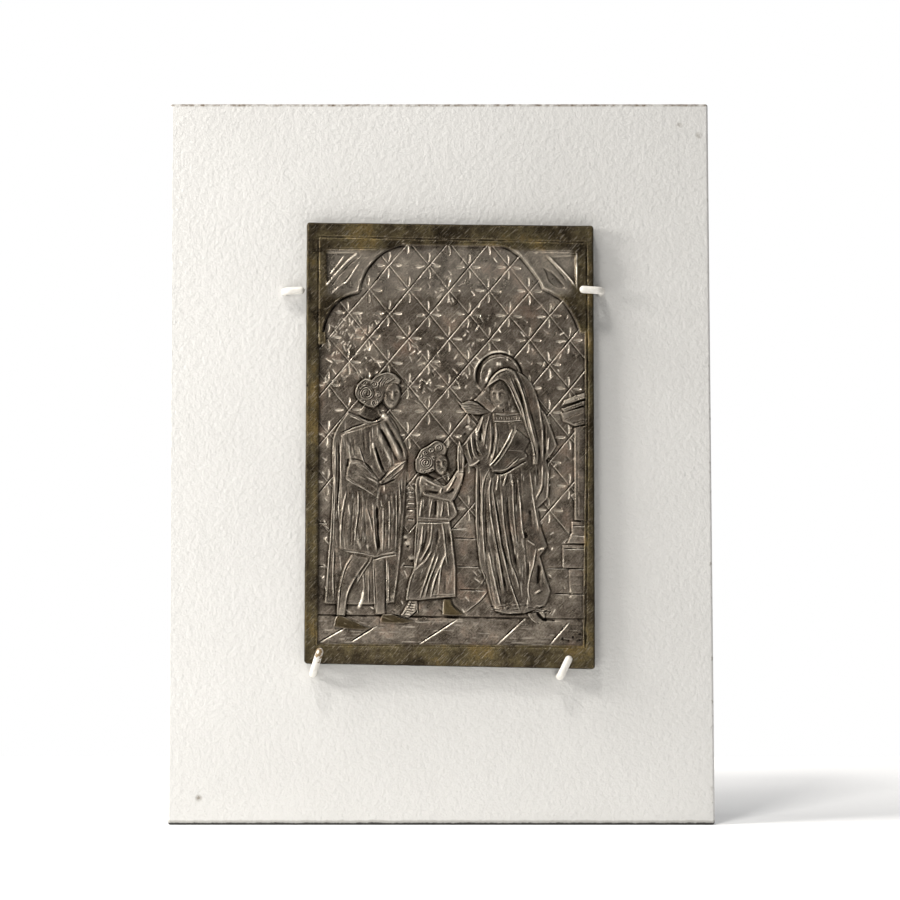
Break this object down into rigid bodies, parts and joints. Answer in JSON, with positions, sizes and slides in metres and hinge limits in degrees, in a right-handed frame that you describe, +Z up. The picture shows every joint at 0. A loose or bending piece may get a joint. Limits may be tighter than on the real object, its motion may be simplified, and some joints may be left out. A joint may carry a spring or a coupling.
{
  "type": "relief plaque on a display board",
  "caption": "Small rectangular metal relief plaque of standing robed figures under a cusped arch, held by wire pins on an upright board that stands on its edge.",
  "frame": {"origin": "middle of the display board's underside, where it stands", "axes": "+Z up, -Y out of the front that the relief faces, +X to a viewer's right"},
  "size_m": [0.1097, 0.0237, 0.1454],
  "materials": {
    "metal": "worn grey-brown patina over copper alloy, with rubbed gilding",
    "board_paint": "sprayed off-white paint, matt, slightly pebbled",
    "pin_coating": "white plastic-dipped steel wire"
  },
  "bodies": {
    "root": {"plaque": "metal", "display_board": "board_paint", "pin_upper_left": "pin_coating", "pin_upper_right": "pin_coating", "pin_lower_left": "pin_coating", "pin_lower_right": "pin_coating"}
  },
  "joints": []
}
